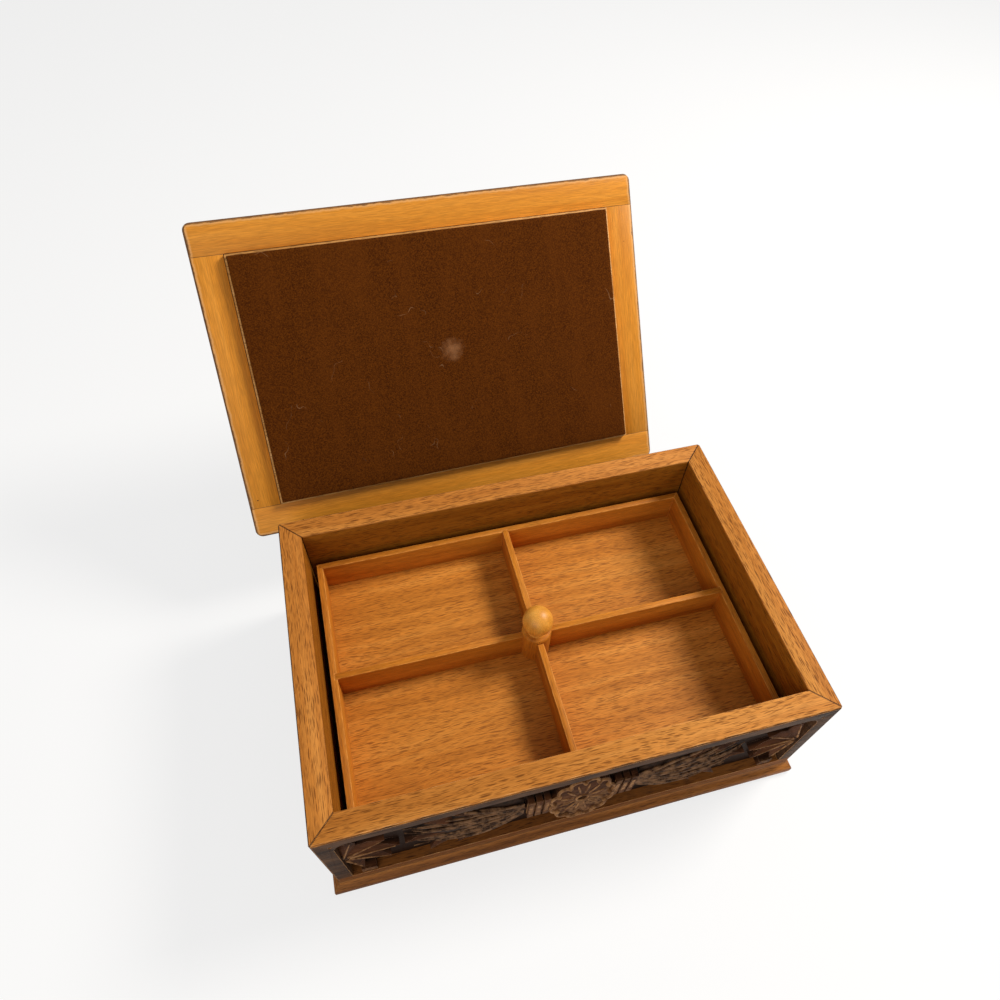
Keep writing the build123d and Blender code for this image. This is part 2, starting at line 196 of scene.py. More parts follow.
# Each wood's dark, middle and light bands and its pores
RIM_TONES = (tone(174, 106, 40), tone(192, 123, 52), tone(208, 140, 66), tone(104, 56, 18))
PLINTH_TONES = (tone(118, 68, 24), tone(152, 94, 38), tone(176, 114, 52), tone(72, 40, 14))
FLOOR_TONES = (tone(178, 108, 32), tone(198, 124, 42), tone(212, 140, 56), tone(124, 68, 18))
SIDE_TONES = (tone(168, 96, 22), tone(194, 118, 32), tone(212, 136, 44), tone(118, 62, 14))
INNER_TONES = (tone(96, 58, 22), tone(124, 78, 32), tone(146, 96, 44), tone(52, 28, 12))
KNOB_TONES = (tone(204, 132, 40), tone(224, 152, 56), tone(236, 170, 74), tone(160, 98, 26))
LID_TONES = (tone(204, 128, 34), tone(214, 139, 42), tone(222, 148, 52), tone(160, 94, 24))
PAD_TONES = (tone(176, 116, 50), tone(208, 150, 82), tone(226, 172, 108), tone(84, 46, 14))

# Stain and wear, and painted shade in the plinth's quirk and in the carving's hollows
STAIN_TONES = (tone(46, 27, 15), tone(88, 57, 33))
RUBBED_STAIN_TONE = tone(122, 90, 64)
JOINT_TONE = tone(40, 20, 10)
QUIRK_SHADE_TONE = tone(48, 28, 16)
RUBBED_LID_TONE = tone(232, 180, 118)
WORN_LID_TONE = tone(88, 60, 40)
SPECK_TONE = tone(70, 34, 10)
HOLLOW_STAIN_AND_SHADE_TONE = tone(36, 20, 12)
CREST_TONE = tone(148, 106, 68)

# Tones that a wood's colour is multiplied by: painted shade inside the box, and tints on the ledge and in
# the carving
PAINTED_INSIDE_SHADE = tone(200, 190, 130)
LEDGE_CAST = tone(186, 176, 170)
CARVING_CAST = tone(255, 226, 206)

# Velvet and steel
PILE_TONES = (tone(54, 21, 3), tone(102, 53, 9))
BRUSHED_PILE_TONE = tone(98, 50, 10)
RUBBED_PILE_TONE = tone(172, 122, 82)
SHEEN_TONE = tone(170, 90, 20)
LINT_TONE = tone(190, 150, 110)
STEEL_TONES = (tone(70, 60, 52), tone(120, 112, 104))

# Turns that lay a wood's grain along the box, across it and upright
along_x = (0, 0, 0)
along_y = (0, 0, pi / 2)
upwards = (0, pi / 2, 0)


# Shader nodes


def node(tree, kind, inputs=(), **settings):
    """Adds a node; inputs pairs a socket's name or number with a value or another node's output."""
    made = tree.nodes.new("ShaderNode" + kind)
    for name, value in settings.items():
        setattr(made, name, value)
    for socket, value in dict(inputs).items():
        if isinstance(value, bpy.types.NodeSocket):
            tree.links.new(value, made.inputs[socket])
        else:
            made.inputs[socket].default_value = value
    return made


def calc(tree, operation, first, second=0.0):
    """Output of one step of arithmetic."""
    return node(tree, "Math", {0: first, 1: second}, operation=operation).outputs[0]


def smooth(tree, value, low, high):
    """0 below low, 1 above high and smooth between."""
    made = node(
        tree,
        "MapRange",
        {"Value": value, "From Min": low, "From Max": high},
        interpolation_type="SMOOTHSTEP",
    )
    return made.outputs["Result"]


def inverse(tree, value):
    """1 where the value is 0, and 0 where it is 1."""
    return calc(tree, "SUBTRACT", 1.0, value)


def mix(tree, factor, first, second, blend="MIX"):
    """Colour that goes from the first to the second as the factor goes from 0 to 1."""
    made = node(tree, "Mix", {0: factor, 6: first, 7: second}, data_type="RGBA", blend_type=blend)
    return made.outputs[2]


def stretched_noise(tree, vector, scale, detail=2.0, roughness=0.5):
    """Noise, its scale given along x, y and z as features to a metre."""
    mapping = node(tree, "Mapping", {"Vector": vector, "Scale": scale})
    made = node(
        tree,
        "TexNoise",
        {"Vector": mapping.outputs[0], "Scale": 1.0, "Detail": detail, "Roughness": roughness},
    )
    return made.outputs["Fac"]


def dashes(tree, vector, scale, low, high):
    """Scattered specks, drawn out along x where its scale is lower: 1 inside them, 0 between."""
    mapping = node(tree, "Mapping", {"Vector": vector, "Scale": scale})
    cells = node(tree, "TexVoronoi", {"Vector": mapping.outputs[0], "Scale": 1.0})
    return inverse(tree, smooth(tree, cells.outputs["Distance"], low, high))


def bumped(tree, height, strength, depth):
    """Normal of a surface raised by the height, of which 1 stands for the depth."""
    return node(tree, "Bump", {"Height": height, "Strength": strength, "Distance": depth}).outputs[0]


def new_finish(name, roughness, gloss=0.2):
    """A material, its tree and its principled shader."""
    finish = bpy.data.materials.new(name)
    finish.use_nodes = True
    tree = finish.node_tree
    shader = tree.nodes["Principled BSDF"]
    shader.inputs["Roughness"].default_value = roughness
    shader.inputs["Specular IOR Level"].default_value = gloss
    return finish, tree, shader


def coordinates(tree, place=(0, 0, 0), turn=(0, 0, 0)):
    """Object coordinates seen from a frame at that place and turn."""
    source = node(tree, "TexCoord").outputs["Object"]
    seen = node(
        tree,
        "Mapping",
        {"Vector": source, "Location": place, "Rotation": turn},
        vector_type="TEXTURE",
    )
    return seen.outputs[0]


def grain(tree, vector, tones, pore_amount, figure=1.0):
    """Open-pored hardwood with its grain along x: gives its colour, its pores and its fibres."""
    dark, middle, light, pore = tones
    wander = stretched_noise(tree, vector, (10, 42, 42))
    sway = calc(tree, "MULTIPLY", calc(tree, "SUBTRACT", wander, 0.5), 6 * mm * figure)
    offset = node(tree, "CombineXYZ", {"Y": sway, "Z": sway})
    bent = node(tree, "VectorMath", {0: vector, 1: offset.outputs[0]}, operation="ADD").outputs[0]
    bands = stretched_noise(tree, bent, (5, 120, 120), detail=3.0, roughness=0.6)
    ramp = node(tree, "ValToRGB", {"Fac": bands})
    ramp.color_ramp.elements[0].position = 0.3
    ramp.color_ramp.elements[0].color = dark
    ramp.color_ramp.elements[1].position = 0.7
    ramp.color_ramp.elements[1].color = light
    ramp.color_ramp.elements.new(0.5).color = middle
    fibres = stretched_noise(tree, bent, (90, 2400, 2400))
    fibre_light = mix(tree, 1.0, ramp.outputs["Color"], (1.12, 1.12, 1.12, 1), "MULTIPLY")
    fibre_dark = mix(tree, 1.0, ramp.outputs["Color"], (0.86, 0.86, 0.86, 1), "MULTIPLY")
    base = mix(tree, smooth(tree, fibres, 0.35, 0.65), fibre_dark, fibre_light)
    coarse = dashes(tree, bent, (90, 1150, 1150), 0.18, 0.4)
    fine = calc(tree, "MULTIPLY", dashes(tree, bent, (160, 1900, 1900), 0.16, 0.42), 0.7)
    crowding = smooth(tree, stretched_noise(tree, bent, (16, 90, 90)), 0.15, 0.5)
    pores = calc(tree, "MULTIPLY", calc(tree, "MAXIMUM", coarse, fine), crowding)
    colour = mix(tree, calc(tree, "MULTIPLY", pores, pore_amount), base, pore)
    return colour, pores, fibres


def wood_bump(tree, pores, fibres, depth):
    """Bump of sunk pores and raised fibres."""
    height = calc(tree, "SUBTRACT", calc(tree, "MULTIPLY", fibres, 0.35), pores)
    return bumped(tree, height, 0.6, depth)


def paint(tree, shader, colour, normal):
    """Joins a colour and a normal to the shader."""
    tree.links.new(colour, shader.inputs["Base Color"])
    tree.links.new(normal, shader.inputs["Normal"])


def weathered(tree, vector):
    """Dark stained wood of the outside, rubbed paler where it is handled."""
    patches = stretched_noise(tree, vector, (28, 60, 60), detail=4.0, roughness=0.65)
    streaks = stretched_noise(tree, vector, (70, 1000, 1000), detail=3.0)
    deep = mix(tree, smooth(tree, patches, 0.38, 0.66), *STAIN_TONES)
    rubbed = calc(tree, "MULTIPLY", smooth(tree, streaks, 0.5, 0.75), 0.5)
    return mix(tree, rubbed, deep, RUBBED_STAIN_TONE)


def outside_depth(tree, vector):
    """How far a point lies outside the box's inner faces: overall, along x and along y, and its height."""
    parts = node(tree, "SeparateXYZ", {0: vector})
    across = calc(tree, "SUBTRACT", calc(tree, "ABSOLUTE", parts.outputs[0]), box_width / 2 - wall)
    through = calc(tree, "SUBTRACT", calc(tree, "ABSOLUTE", parts.outputs[1]), box_depth / 2 - wall)
    return calc(tree, "MAXIMUM", across, through), across, through, parts.outputs[2]


# Finishes


def wall_finish(name, turn):
    """Walls: open-pored orange brown on the rim and inside, with painted shade on the inner faces, dark
    and weathered outside.
    """
    finish, tree, shader = new_finish(name, roughness=0.6, gloss=0.1)
    world = coordinates(tree)
    along = coordinates(tree, turn=turn)
    colour, pores, fibres = grain(tree, along, RIM_TONES, 0.85)
    depth, across, through, height = outside_depth(tree, world)
    # The stain begins at a wandering line on the rim's outer edge, and below the rim
    rough = stretched_noise(tree, world, (160, 160, 160), detail=3.0)
    wander = calc(tree, "MULTIPLY", calc(tree, "SUBTRACT", rough, 0.5), 1.6 * mm)
    rubbed = smooth(tree, calc(tree, "ADD", depth, wander), wall - 0.7 * mm, wall - 0.1 * mm)
    below = inverse(tree, smooth(tree, height, box_height - 1.4 * mm, box_height - 0.9 * mm))
    sunk = calc(tree, "MULTIPLY", below, smooth(tree, depth, 0.4 * mm, 0.9 * mm))
    outside = calc(tree, "MAXIMUM", rubbed, sunk)
    # Painted shade: inner faces below the rim are darkened and tinted olive
    inside = calc(tree, "MULTIPLY", below, inverse(tree, smooth(tree, depth, 0.2 * mm, 0.6 * mm)))
    colour = mix(tree, inside, colour, mix(tree, 1.0, colour, PAINTED_INSIDE_SHADE, "MULTIPLY"))
    # Dark line where the mitred boards meet
    mitre = calc(tree, "ABSOLUTE", calc(tree, "SUBTRACT", across, through))
    joint = inverse(tree, smooth(tree, mitre, 0.35 * mm, 0.75 * mm))
    colour = mix(tree, calc(tree, "MULTIPLY", joint, 0.9), colour, JOINT_TONE)
    # The ledge under the carving keeps some of the wood's own brown
    low_brown = mix(tree, 1.0, colour, LEDGE_CAST, "MULTIPLY")
    foot = plinth_height + ledge
    on_ledge = inverse(tree, smooth(tree, calc(tree, "ADD", height, wander), foot, foot + 0.8 * mm))
    skin = mix(tree, calc(tree, "MULTIPLY", on_ledge, 0.8), weathered(tree, along), low_brown)
    colour = mix(tree, outside, colour, skin)
    paint(tree, shader, colour, wood_bump(tree, pores, fibres, 0.12 * mm))
    return finish


def plain_wood(name, turn, tones, pore_amount=0.8, figure=1.0):
    """Wood with its grain along the x of a frame at that turn."""
    finish, tree, shader = new_finish(name, roughness=0.55)
    colour, pores, fibres = grain(tree, coordinates(tree, turn=turn), tones, pore_amount, figure)
    paint(tree, shader, colour, wood_bump(tree, pores, fibres, 0.1 * mm))
    return finish


def pad_finish(name):
    """Pad board: wood with its grain along the lid."""
    finish, tree, shader = new_finish(name, roughness=0.6)
    colour, pores, fibres = grain(tree, coordinates(tree, lid_place, lid_turn), PAD_TONES, 0.6)
    paint(tree, shader, colour, wood_bump(tree, pores, fibres, 0.1 * mm))
    return finish


def polished_finish(name):
    """Turned wood, polished, its grain upright."""
    finish, tree, shader = new_finish(name, roughness=0.42, gloss=0.4)
    colour, pores, fibres = grain(tree, coordinates(tree, turn=upwards), KNOB_TONES, 0.25, 0.4)
    paint(tree, shader, colour, wood_bump(tree, pores, fibres, 0.03 * mm))
    return finish


def plinth_finish(name, turn):
    """Plinth: orange brown, with painted shade in its quirk."""
    finish, tree, shader = new_finish(name, roughness=0.55)
    along = coordinates(tree, turn=turn)
    colour, pores, fibres = grain(tree, along, PLINTH_TONES, 0.7)
    height = node(tree, "SeparateXYZ", {0: along}).outputs[2]
    # Painted shade along the top of the plinth, in its quirk under the ledge
    quirk_shade = smooth(tree, height, plinth_height - 2.2 * mm, plinth_height - 1.2 * mm)
    colour = mix(tree, calc(tree, "MULTIPLY", quirk_shade, 0.7), colour, QUIRK_SHADE_TONE)
    paint(tree, shader, colour, wood_bump(tree, pores, fibres, 0.1 * mm))
    return finish


def lid_finish(name, crosswise):
    """Lid frame: smooth golden orange beneath, dark along its worn edges and on its upper side."""
    finish, tree, shader = new_finish(name, roughness=0.42, gloss=0.25)
    own = coordinates(tree, lid_place, lid_turn)
    along = own
    if crosswise:
        along = node(tree, "Mapping", {"Vector": own, "Rotation": (0, 0, pi / 2)}).outputs[0]
    colour, pores, fibres = grain(tree, along, LID_TONES, 0.2, 0.6)
    parts = node(tree, "SeparateXYZ", {0: own})
    # Distance in from the lid's outer edge, and the wear along it
    side = calc(tree, "SUBTRACT", lid_width / 2, calc(tree, "ABSOLUTE", parts.outputs[0]))
    from_middle = calc(tree, "ABSOLUTE", calc(tree, "ADD", parts.outputs[1], lid_depth / 2))
    border = calc(tree, "MINIMUM", side, calc(tree, "SUBTRACT", lid_depth / 2, from_middle))
    rough = stretched_noise(tree, own, (120, 120, 120), detail=4.0, roughness=0.7)
    wander = calc(tree, "MULTIPLY", calc(tree, "SUBTRACT", rough, 0.5), 3.0 * mm)
    ragged = calc(tree, "ADD", border, wander)
    rubbed = inverse(tree, smooth(tree, ragged, 2.0 * mm, 3.2 * mm))
    colour = mix(tree, calc(tree, "MULTIPLY", rubbed, 0.5), colour, RUBBED_LID_TONE)
    worn = inverse(tree, smooth(tree, ragged, 0.9 * mm, 1.9 * mm))
    colour = mix(tree, calc(tree, "MULTIPLY", worn, 0.9), colour, WORN_LID_TONE)
    specks = dashes(tree, own, (70, 90, 90), 0.03, 0.05)
    near = inverse(tree, smooth(tree, border, 7 * mm, 10 * mm))
    colour = mix(tree, calc(tree, "MULTIPLY", specks, near), colour, SPECK_TONE)
    upper = smooth(tree, parts.outputs[2], 0.8 * mm, 1.6 * mm)
    colour = mix(tree, upper, colour, weathered(tree, along))
    paint(tree, shader, colour, wood_bump(tree, pores, fibres, 0.04 * mm))
    return finish


def velvet_finish(name):
    """Short brown pile, brushed unevenly, with a pale rubbed spot and a little lint."""
    finish, tree, shader = new_finish(name, roughness=0.95, gloss=0.05)
    own = coordinates(tree, lid_place, lid_turn)
    pile = stretched_noise(tree, own, (1300, 1300, 1300), detail=3.0, roughness=0.7)
    brushed = stretched_noise(tree, own, (56, 14, 30), detail=4.0, roughness=0.6)
    colour = mix(tree, smooth(tree, pile, 0.3, 0.72), *PILE_TONES)
    lifted = calc(tree, "MULTIPLY", smooth(tree, brushed, 0.4, 0.75), 0.4)
    colour = mix(tree, lifted, colour, BRUSHED_PILE_TONE)
    spot_place = (5 * mm, -108 * mm, pad_face)
    spot = node(tree, "VectorMath", {0: own, 1: spot_place}, operation="DISTANCE").outputs["Value"]
    cloud = calc(tree, "MULTIPLY", stretched_noise(tree, own, (240, 240, 240), detail=4.0), 10 * mm)
    rubbed = inverse(tree, smooth(tree, calc(tree, "ADD", spot, cloud), 5 * mm, 15 * mm))
    colour = mix(tree, calc(tree, "MULTIPLY", rubbed, 0.45), colour, RUBBED_PILE_TONE)
    winding = calc(tree, "SUBTRACT", stretched_noise(tree, own, (38, 38, 38)), 0.5)
    hair = inverse(tree, smooth(tree, calc(tree, "ABSOLUTE", winding), 0.0, 0.003))
    scattered = smooth(tree, stretched_noise(tree, own, (60, 60, 60)), 0.62, 0.7)
    lint = calc(tree, "MULTIPLY", calc(tree, "MULTIPLY", hair, scattered), 0.4)
    colour = mix(tree, lint, colour, LINT_TONE)
    shader.inputs["Sheen Weight"].default_value = 0.12
    shader.inputs["Sheen Roughness"].default_value = 0.5
    shader.inputs["Sheen Tint"].default_value = SHEEN_TONE
    paint(tree, shader, colour, bumped(tree, pile, 0.6, 0.4 * mm))
    return finish


def carving_finish(name, on_lid=False):
    """Carved wood, near black in its hollows from dark stain and painted shade, and rubbed pale on its
    crests.
    """
    finish, tree, shader = new_finish(name, roughness=0.65, gloss=0.07)
    if on_lid:
        own = coordinates(tree, lid_place, lid_turn)
        height = calc(tree, "SUBTRACT", node(tree, "SeparateXYZ", {0: own}).outputs[2], lid_ground)
    else:
        own = coordinates(tree)
        height = calc(tree, "SUBTRACT", outside_depth(tree, own)[0], wall - field_depth)
    warm = mix(tree, 1.0, weathered(tree, own), CARVING_CAST, "MULTIPLY")
    # Dark stain and painted shade in the hollows, fading out with height above the ground
    colour = mix(tree, smooth(tree, height, 0.4 * mm, 3.5 * mm), HOLLOW_STAIN_AND_SHADE_TONE, warm)
    patches = stretched_noise(tree, own, (300, 300, 300), detail=3.0, roughness=0.6)
    high = smooth(tree, height, 3.5 * mm, 6.5 * mm)
    crest = calc(tree, "MULTIPLY", high, smooth(tree, patches, 0.4, 0.62))
    colour = mix(tree, calc(tree, "MULTIPLY", crest, 0.7), colour, CREST_TONE)
    rough = stretched_noise(tree, own, (800, 800, 800), detail=3.0, roughness=0.65)
    paint(tree, shader, colour, bumped(tree, rough, 0.7, 0.4 * mm))
    return finish


def two_tone_finish(name, light, dark, patch_scale=140, depth=0.1 * mm):
    """Wood rubbed in patches, that many to a metre, between a light and a dark tone."""
    finish, tree, shader = new_finish(name, roughness=0.6, gloss=0.1)
    patches = stretched_noise(tree, coordinates(tree), (patch_scale,) * 3, detail=4.0, roughness=0.62)
    colour = mix(tree, smooth(tree, patches, 0.35, 0.65), dark, light)
    paint(tree, shader, colour, bumped(tree, patches, 0.5, depth))
    return finish


def steel_finish(name):
    """Dulled steel of the screw and the brads."""
    finish, tree, shader = new_finish(name, roughness=0.5)
    spots = stretched_noise(tree, coordinates(tree), (900, 900, 900), detail=3.0)
    shader.inputs["Metallic"].default_value = 1.0
    colour = mix(tree, smooth(tree, spots, 0.4, 0.6), *STEEL_TONES)
    paint(tree, shader, colour, bumped(tree, spots, 0.2, 0.1 * mm))
    return finish


# Modelling steps


def only(piece):
    """Deselects everything else and makes the piece active."""
    bpy.ops.object.select_all(action="DESELECT")
    piece.select_set(True)
    bpy.context.view_layer.objects.active = piece


def settle(piece, finish, body):
    """Puts the piece's place into its mesh and gives it its finish, body and slot."""
    only(piece)
    bpy.ops.object.transform_apply(location=True, rotation=True, scale=True)
    bpy.ops.object.shade_smooth_by_angle(angle=smooth_angle)
    piece.data.materials.clear()
    piece.data.materials.append(finish)
    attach(piece, body)


def eased_copy(name, ease, finish, worn):
    """A copy of a node with its edges eased and rubbed, which stands for the node."""
    source = frame["nodes"][name]
    piece = source.copy()
    piece.data = source.data.copy()
    piece.name = name + "_eased"
    piece.parent = None
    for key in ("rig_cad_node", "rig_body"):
        if key in piece:
            del piece[key]
    bpy.context.scene.collection.objects.link(piece)
    only(piece)
    piece.data.materials.clear()
    piece.data.materials.append(finish)
    piece.data.materials.append(worn)
    bpy.ops.object.mode_set(mode="EDIT")
    bpy.ops.mesh.customdata_custom_splitnormals_clear()
    bpy.ops.mesh.select_all(action="SELECT")
    bpy.ops.mesh.remove_doubles(threshold=weld_distance)
    bpy.ops.mesh.dissolve_limited(angle_limit=flat_angle)
    bpy.ops.mesh.select_all(action="DESELECT")
    bpy.ops.mesh.select_mode(type="EDGE")
    bpy.ops.mesh.edges_select_sharp(sharpness=sharp_angle)
    bpy.ops.mesh.bevel(offset=ease, segments=2, profile=0.5, clamp_overlap=True, material=1)
    bpy.ops.object.mode_set(mode="OBJECT")
    bpy.ops.object.shade_smooth_by_angle(angle=smooth_angle)
    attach(piece, source["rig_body"])
    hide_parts(name)
    return piece


def dress(name, finish):
    """Gives a node its finish and leaves its shape."""
    mesh = frame["nodes"][name].data
    mesh.materials.clear()
    mesh.materials.append(finish)


def turned(name, profile, finish, node_name):
    """A turned piece on the box's axis, drawn up ring by ring through the profile's (radius, height)."""
    radius, height = profile[0]
    bpy.ops.mesh.primitive_circle_add(
        vertices=turned_facets, radius=radius, fill_type="NGON", location=(0, 0, height)
    )
    piece = bpy.context.active_object
    piece.name = name
    bpy.ops.object.transform_apply(location=True, rotation=True, scale=True)
    bpy.ops.object.mode_set(mode="EDIT")
    bpy.ops.mesh.select_mode(type="EDGE")
    bpy.ops.mesh.select_all(action="SELECT")
    for next_radius, next_height in profile[1:]:
        bpy.ops.mesh.extrude_region_move(TRANSFORM_OT_translate={"value": (0, 0, next_height - height)})
        ratio = next_radius / radius
        bpy.ops.transform.resize(value=(ratio, ratio, 1), center_override=(0, 0, next_height))
        radius, height = next_radius, next_height
    bpy.ops.mesh.select_all(action="SELECT")
    bpy.ops.mesh.normals_make_consistent(inside=False)
    bpy.ops.object.mode_set(mode="OBJECT")
    settle(piece, finish, "tray")
    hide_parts(node_name)


def make_knob():
    """Ball knob on its neck."""
    middle = post_top + knob_lift + knob_radius
    start = atan2(-sqrt(knob_radius**2 - knob_neck**2), knob_neck)
    steps = 36
    ball = []
    for count in range(steps):
        angle = start + (pi / 2 - start) * count / steps
        ball.append((knob_radius * cos(angle), middle + knob_radius * sin(angle)))
    neck = [(knob_neck + neck_flare, post_top), (knob_neck, post_top + neck_flare_height)]
    turned("knob_ball", neck + ball, knob_wood, "tray_knob")


def make_post():
    """Post with a rounded shoulder under the knob."""
    steps = 8
    profile = [(post_radius, tray_floor_top)]
    for count in range(steps + 1):
        angle = pi / 2 * count / steps
        ring = post_radius - post_round * (1 - cos(angle))
        profile.append((ring, post_top - post_round * (1 - sin(angle))))
    turned("turned_post", profile, post_wood_painted_shade, "tray_post")


def make_velvet():
    """Velvet glued to the pad board's face, its cut edges rounded."""
    width = pad_width - 2 * velvet_margin
    depth = pad_depth - 2 * velvet_margin
    bpy.ops.mesh.primitive_grid_add(x_subdivisions=velvet_columns, y_subdivisions=velvet_rows, size=1)
    piece = bpy.context.active_object
    piece.name = "velvet_sheet"
    place = Vector((0, -lid_depth / 2, pad_face - velvet_pile))
    piece.matrix_world = lid_matrix @ Matrix.Translation(place) @ Matrix.Diagonal((width, depth, 1, 1))
    bpy.ops.object.transform_apply(location=True, rotation=True, scale=True)
    bpy.ops.object.mode_set(mode="EDIT")
    bpy.ops.mesh.select_all(action="SELECT")
    bpy.ops.mesh.flip_normals()
    bpy.ops.object.mode_set(mode="OBJECT")
    thickness = piece.modifiers.new("pile", "SOLIDIFY")
    thickness.thickness = velvet_pile
    thickness.offset = -1.0
    bpy.ops.object.modifier_apply(modifier="pile")
    rounding = piece.modifiers.new("cut_edge", "BEVEL")
    rounding.width = velvet_round
    rounding.segments = 2
    bpy.ops.object.modifier_apply(modifier="cut_edge")
    settle(piece, velvet, "lid")
    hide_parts("lid_velvet")


# Carving


def side_matrix(name):
    """Frame of a side's carving: x along the side, y up and z outwards from its ground."""
    turn, distance, _ = SIDES[name]
    upright = Matrix.Rotation(turn, 4, "Z") @ Matrix.Rotation(pi / 2, 4, "X")
    place = Vector((sin(turn), -cos(turn), 0)) * (distance - field_depth)
    place.z = (plinth_height + ledge + box_height - top_band) / 2
    return Matrix.Translation(place) @ upright


def drawn(name, lines, radius, closed=False):
    """Round strands through each line's points (x, y, z, swell), as one mesh at the origin."""
    curve = bpy.data.curves.new(name, "CURVE")
    curve.dimensions = "3D"
    curve.bevel_depth = radius
    curve.bevel_resolution = 1
    curve.use_fill_caps = True
    for line in lines:
        spline = curve.splines.new("POLY")
        spline.points.add(len(line) - 1)
        for point, (x, y, z, swell) in zip(spline.points, line):
            point.co = (x, y, z, 1)
            point.radius = swell
        spline.use_cyclic_u = closed
    holder = bpy.data.objects.new(name, curve)
    bpy.context.scene.collection.objects.link(holder)
    only(holder)
    bpy.ops.object.convert(target="MESH")
    return bpy.context.active_object


def placed_copy(motif, name, matrix, finish, body):
    """Own copy of a motif, put where the matrix says."""
    piece = motif.copy()
    piece.data = motif.data.copy()
    piece.name = name
    bpy.context.scene.collection.objects.link(piece)
    piece.matrix_world = matrix
    settle(piece, finish, body)


def scallop(turn, share):
    """Point of the rosette's scalloped outline, drawn in to that share of its size."""
    reach = (1 - rosette_notch * (1 - abs(sin(turn * rosette_lobes / 2)))) * share
    return cos(turn) * rosette_width / 2 * reach, sin(turn) * rosette_height / 2 * reach


def rosette_rim():
    """Rim of the rosette with a bead in each of its notches."""
    steps = rosette_lobes * 10
    rim = [(*scallop(2 * pi * count / steps, rim_share), rim_lift, 1) for count in range(steps)]
    piece = drawn("rosette_rim", [rim], rim_radius, closed=True)
    beads = []
    for count in range(rosette_lobes):
        x, y = scallop(2 * pi * count / rosette_lobes, bead_share)
        bpy.ops.mesh.primitive_uv_sphere_add(
            segments=14, ring_count=8, radius=bead_radius, location=(x, y, bead_lift)
        )
        beads.append(bpy.context.active_object)
    only(piece)
    for bead in beads:
        bead.select_set(True)
    bpy.ops.object.join()
    return piece


def rosette_strokes():
    """Raised strokes round the rosette's eye, and the ring of the eye."""
    steps = 6
    ring_steps = 24
    lines = []
    for count in range(rosette_lobes):
        turn = 2 * pi * (count + 0.5) / rosette_lobes
        line = []
        for step in range(steps + 1):
            reach = stroke_start + stroke_reach * step / steps
            swell = 0.55 + 0.45 * sin(pi * step / steps)
            x = cos(turn) * rosette_width / 2 * reach
            y = sin(turn) * rosette_height / 2 * reach
            line.append((x, y, 0, swell))
        lines.append(line)
    around = [2 * pi * count / ring_steps for count in range(ring_steps + 1)]
    lines.append([(cos(turn) * eye_radius, sin(turn) * eye_radius, 0, 1) for turn in around])
    return drawn("rosette_strokes", lines, stroke_radius)


def tie_bars():
    """Rounded bars that bind a sheaf, each across its stem."""
    steps = 12
    lines = []
    for count in range(tie_count):
        x = tie_pitch * (count + 0.5)
        line = []
        for step in range(steps + 1):
            across = -1 + 2 * step / steps
            swell = sqrt(max(0.0, 1 - across**6)) * 0.98 + 0.02
            line.append((x, across * tie_length / 2, bar_lift, swell))
        lines.append(line)
    return drawn("tie_bars", lines, bar_radius)


def sheaf_strands(length, spread, count, seed):
    """Wavy strands that spread from a sheaf's tie and lie over its swelling."""
    rng = Random(seed)
    lines = []
    steps = 18
    for index in range(count):
        start = -1 + 2 * (index + 0.5) / count
        end = min(1.0, max(-1.0, start + rng.uniform(-0.35, 0.35)))
        reach = length * rng.uniform(0.78, 1.0)
        waves = rng.uniform(1.2, 2.4)
        phase = rng.uniform(0, 2 * pi)
        swing = rng.uniform(0.6, 1.6) * mm
        lift = rng.uniform(-0.8, 1.2) * mm
        line = []
        for step in range(steps + 1):
            share = step / steps
            x = share * reach
            # The sheaf is fully spread by about three quarters of its length
            edge = sheaf_root + (spread - sheaf_root) * sin(pi / 2 * min(1.0, share * 1.35))
            y = (start + (end - start) * share) * edge + swing * sin(phase + waves * 2 * pi * share)
            dome = 1 - ((x / length - mound_middle) / dome_reach) ** 2 - (y / (spread * dome_breadth)) ** 2
            z = max(strand_low, sheaf_lift * sqrt(max(0.0, dome)) + lift * sin(pi * share))
            line.append((x, y, z, 0.45 + 0.75 * sin(pi * min(1.0, share + 0.12))))
        lines.append(line)
    return drawn("sheaf_strands", lines, strand_radius)


def sheaf_swelling(length, spread):
    """Low mound under a sheaf's strands."""
    bpy.ops.mesh.primitive_uv_sphere_add(segments=40, ring_count=24, radius=1)
    piece = bpy.context.active_object
    piece.name = "sheaf_swelling"
    piece.location = (length * mound_middle, 0, 0)
    piece.scale = (length * mound_reach, spread * mound_breadth, sheaf_lift)
    bpy.ops.object.transform_apply(location=True, rotation=True, scale=True)
    bpy.ops.object.mode_set(mode="EDIT")
    bpy.ops.mesh.select_all(action="SELECT")
    bpy.ops.mesh.bisect(plane_co=(0, 0, mound_foot), plane_no=(0, 0, 1), clear_inner=True, use_fill=True)
    bpy.ops.mesh.select_all(action="SELECT")
    bpy.ops.mesh.bisect(plane_co=(0, 0, 0), plane_no=(1, 0, 0), clear_inner=True, use_fill=True)
    bpy.ops.object.mode_set(mode="OBJECT")
    return piece


def fan_ribs():
    """Raised middle ribs of an end fan's petals."""
    steps = 8
    lines = []
    for petal in range(fan_petals):
        angle = fan_sweep * (petal / (fan_petals - 1) - 0.5)
        line = []
        for step in range(steps + 1):
            reach = fan_length * (rib_start + rib_reach * step / steps)
            line.append((cos(angle) * reach, sin(angle) * reach, rib_lift, 1 - 0.6 * step / steps))
        lines.append(line)
    return drawn("fan_ribs", lines, rib_radius)


def widened(scale):
    """Scaling along and across a panel, and not in height."""
    return Matrix.Diagonal((scale, scale, 1, 1))


